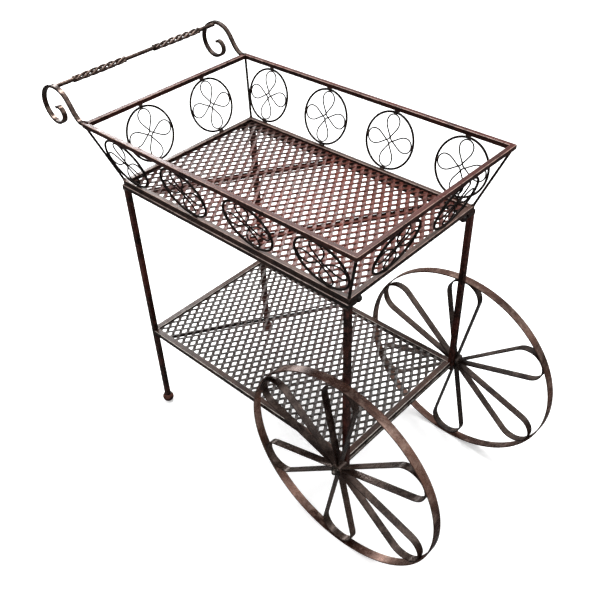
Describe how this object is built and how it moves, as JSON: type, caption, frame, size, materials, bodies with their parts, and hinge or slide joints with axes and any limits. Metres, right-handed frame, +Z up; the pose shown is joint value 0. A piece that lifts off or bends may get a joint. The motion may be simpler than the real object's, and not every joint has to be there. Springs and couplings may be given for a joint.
{
  "type": "plant trolley",
  "caption": "Two-wheeled wrought-metal plant trolley with a flared mesh tray basket ringed with wire flowers, a lower mesh shelf, flower-spoke wheels and a scrolled push handle.",
  "frame": {"origin": "on the floor, under the middle of the overall length and width", "axes": "+X along the length towards the wheels, +Y to the left of a person pushing, +Z up"},
  "size_m": [1.0338, 0.46, 0.8522],
  "materials": {
    "rim_copper": "copper-brushed antique bronze paint on square bar",
    "tray_bronze": "dark antique bronze paint with rubbed edges",
    "tray_mesh_copper": "copper-rubbed paint on expanded metal",
    "shelf_mesh_bronze": "dark bronze paint on expanded metal",
    "shelf_bronze": "bronze paint, brushed grey-brown",
    "wire_bronze": "near-black bronze paint, glossy",
    "handle_bronze": "near-black bronze paint, glossy",
    "leg_bronze": "dark bronze paint",
    "wheel_bronze": "brushed grey-brown bronze paint",
    "axle_steel": "bright turned steel",
    "knob_dark": "near-black paint"
  },
  "bodies": {
    "frame": {"axle": "axle_steel", "axle_cap_nuts": "axle_steel", "axle_washers": "axle_steel", "corner_posts": "tray_bronze", "flowers_front": "wire_bronze", "flowers_left": "wire_bronze", "flowers_rear": "wire_bronze", "flowers_right": "wire_bronze", "foot_ball_left": "leg_bronze", "foot_ball_right": "leg_bronze", "handle_collars": "handle_bronze", "handle_rod_centre": "handle_bronze", "handle_rod_left": "handle_bronze", "handle_rod_right": "handle_bronze", "handle_scroll_left": "handle_bronze", "handle_scroll_right": "handle_bronze", "handle_twist_left": "handle_bronze", "handle_twist_right": "handle_bronze", "leg_frame_crossbars": "leg_bronze", "leg_frame_rail_left": "leg_bronze", "leg_frame_rail_right": "leg_bronze", "leg_front_left": "leg_bronze", "leg_front_right": "leg_bronze", "leg_rear_left": "leg_bronze", "leg_rear_right": "leg_bronze", "rim_rail_front": "rim_copper", "rim_rail_left": "rim_copper", "rim_rail_rear": "rim_copper", "rim_rail_right": "rim_copper", "rings_front": "wire_bronze", "rings_left": "wire_bronze", "rings_rear": "wire_bronze", "rings_right": "wire_bronze", "shelf_crossbars": "shelf_bronze", "shelf_mesh": "shelf_mesh_bronze", "shelf_rail_front": "shelf_bronze", "shelf_rail_left": "shelf_bronze", "shelf_rail_rear": "shelf_bronze", "shelf_rail_right": "shelf_bronze", "tray_base_rail_front": "tray_bronze", "tray_base_rail_left": "tray_bronze", "tray_base_rail_rear": "tray_bronze", "tray_base_rail_right": "tray_bronze", "tray_knobs": "knob_dark", "tray_mesh": "tray_mesh_copper", "tray_studs": "axle_steel"},
    "wheel_left": {"wheel_hub_left": "wheel_bronze", "wheel_petals_left": "wheel_bronze", "wheel_rim_left": "wheel_bronze"},
    "wheel_right": {"wheel_hub_right": "wheel_bronze", "wheel_petals_right": "wheel_bronze", "wheel_rim_right": "wheel_bronze"}
  },
  "joints": [
    {"name": "wheel_left_spin", "type": "hinge", "parent": "frame", "child": "wheel_left", "pos_m": [0.2803, 0.2067, 0.2365], "axis": [0, 1, 0], "continuous": true},
    {"name": "wheel_right_spin", "type": "hinge", "parent": "frame", "child": "wheel_right", "pos_m": [0.2803, -0.2067, 0.2365], "axis": [0, 1, 0], "continuous": true}
  ]
}
